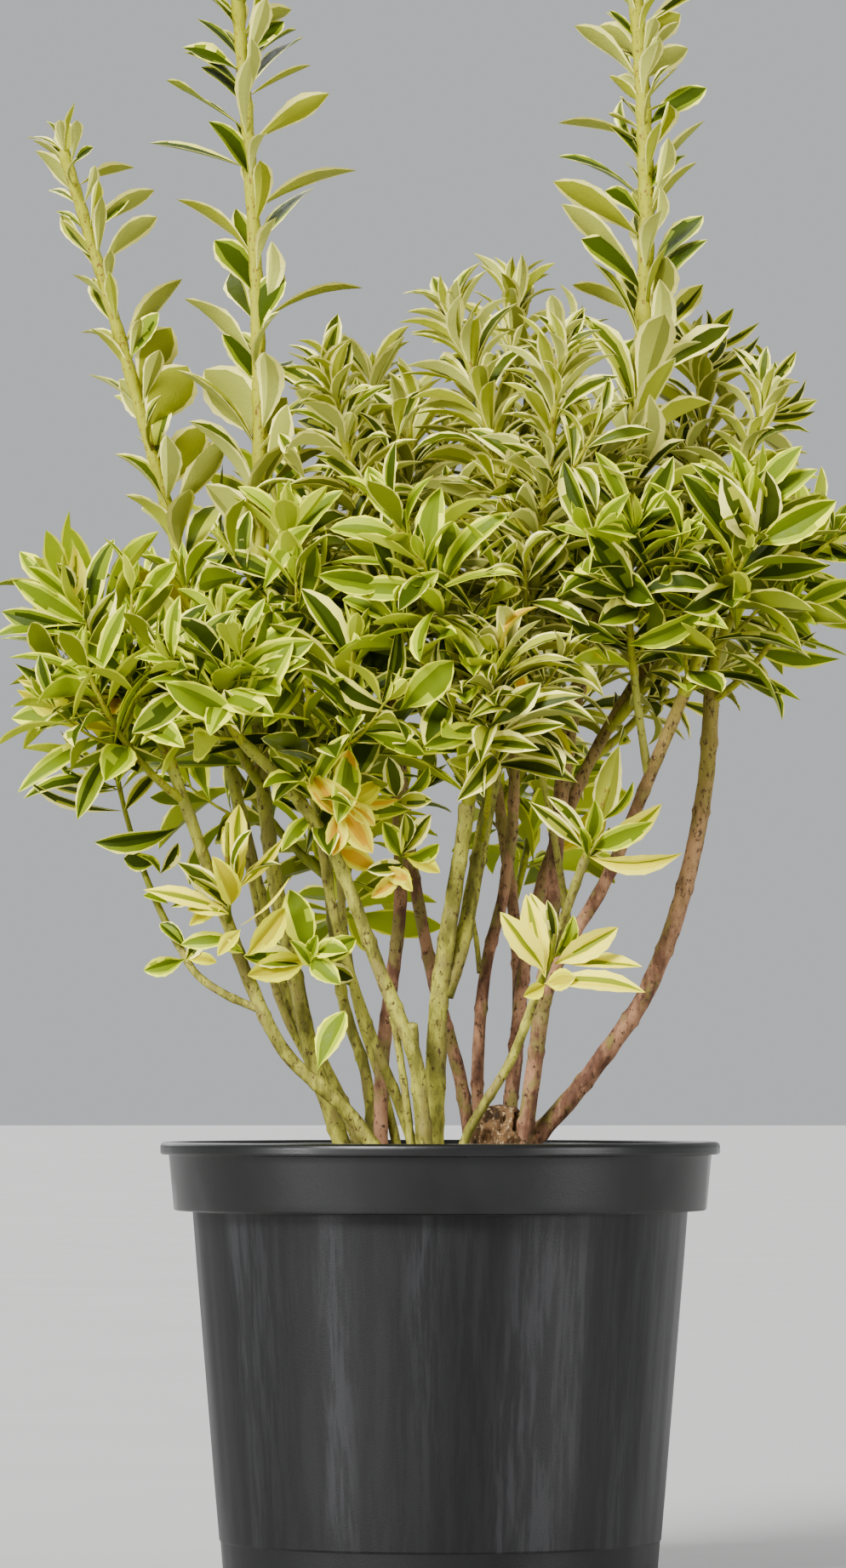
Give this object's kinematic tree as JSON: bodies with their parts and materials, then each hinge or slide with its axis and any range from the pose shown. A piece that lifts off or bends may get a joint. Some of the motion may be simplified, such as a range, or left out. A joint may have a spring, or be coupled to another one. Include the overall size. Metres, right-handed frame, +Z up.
{
  "type": "potted japanese spindle",
  "caption": "Upright evergreen shrub with cream-edged narrow leaves on many stems, rooted in compost in a round black plastic pot.",
  "frame": {"origin": "centre of the pot's flat underside", "axes": "+Z up, from the underside to the tallest shoot; -Y is the side the picture shows; +X is to the right as seen from that side"},
  "size_m": [0.3453, 0.2541, 0.6854],
  "materials": {
    "pot_plastic": "satin black moulded plastic with faint upright streaks",
    "compost": "loose dark compost with bark chips",
    "brown_bark": "rough brown bark",
    "green_bark": "olive-green bark with brown and pale mottling",
    "foliage": "leathery green leaves with cream and yellow margins"
  },
  "bodies": {
    "root": {"pot": "pot_plastic", "compost": "compost", "root_crown": "brown_bark", "bough_left_edge": "green_bark", "bough_left_low": "green_bark", "bough_tall_left": "green_bark", "bough_far_left": "green_bark", "bough_mid_left": "brown_bark", "bough_inner_left": "green_bark", "bough_left_front": "green_bark", "bough_centre": "green_bark", "bough_centre_right": "green_bark", "bough_right_front": "green_bark", "bough_centre_back": "brown_bark", "bough_back_left_inner": "brown_bark", "bough_tall_right": "brown_bark", "bough_right_mid": "brown_bark", "bough_right_inner": "green_bark", "bough_far_right": "brown_bark", "bough_right_back": "brown_bark", "bough_back": "brown_bark", "bough_back_left": "green_bark", "shoot_tall_left": "foliage", "shoot_far_left": "foliage", "shoot_tall_right": "foliage", "shoot_mid_left": "foliage", "shoot_centre": "foliage", "shoot_centre_back": "foliage", "shoot_centre_right": "foliage", "shoot_right_back": "foliage", "shoot_right_outer": "foliage", "shoot_right_mid": "foliage", "shoot_far_right": "foliage", "shoot_right_low": "foliage", "shoot_right_inner": "foliage", "shoot_centre_low": "foliage", "shoot_inner_left": "foliage", "shoot_left_edge": "foliage", "shoot_left_low": "foliage", "shoot_left_front": "foliage", "rosette_left": "foliage", "rosette_inner": "foliage", "rosette_right": "foliage", "shoot_right_front": "foliage", "rosette_centre": "foliage", "shoot_centre_front": "foliage", "shoot_left_inner": "foliage", "shoot_upper_inner": "foliage", "shoot_left_outer": "foliage", "shoot_mid_inner": "foliage", "shoot_right_upper": "foliage", "shoot_back": "foliage", "shoot_back_left": "foliage", "shoot_back_inner": "foliage", "shoot_back_left_edge": "foliage", "shoot_back_left_low": "foliage", "shoot_back_right": "foliage", "shoot_back_right_edge": "foliage", "shoot_back_low": "foliage"}
  },
  "joints": []
}
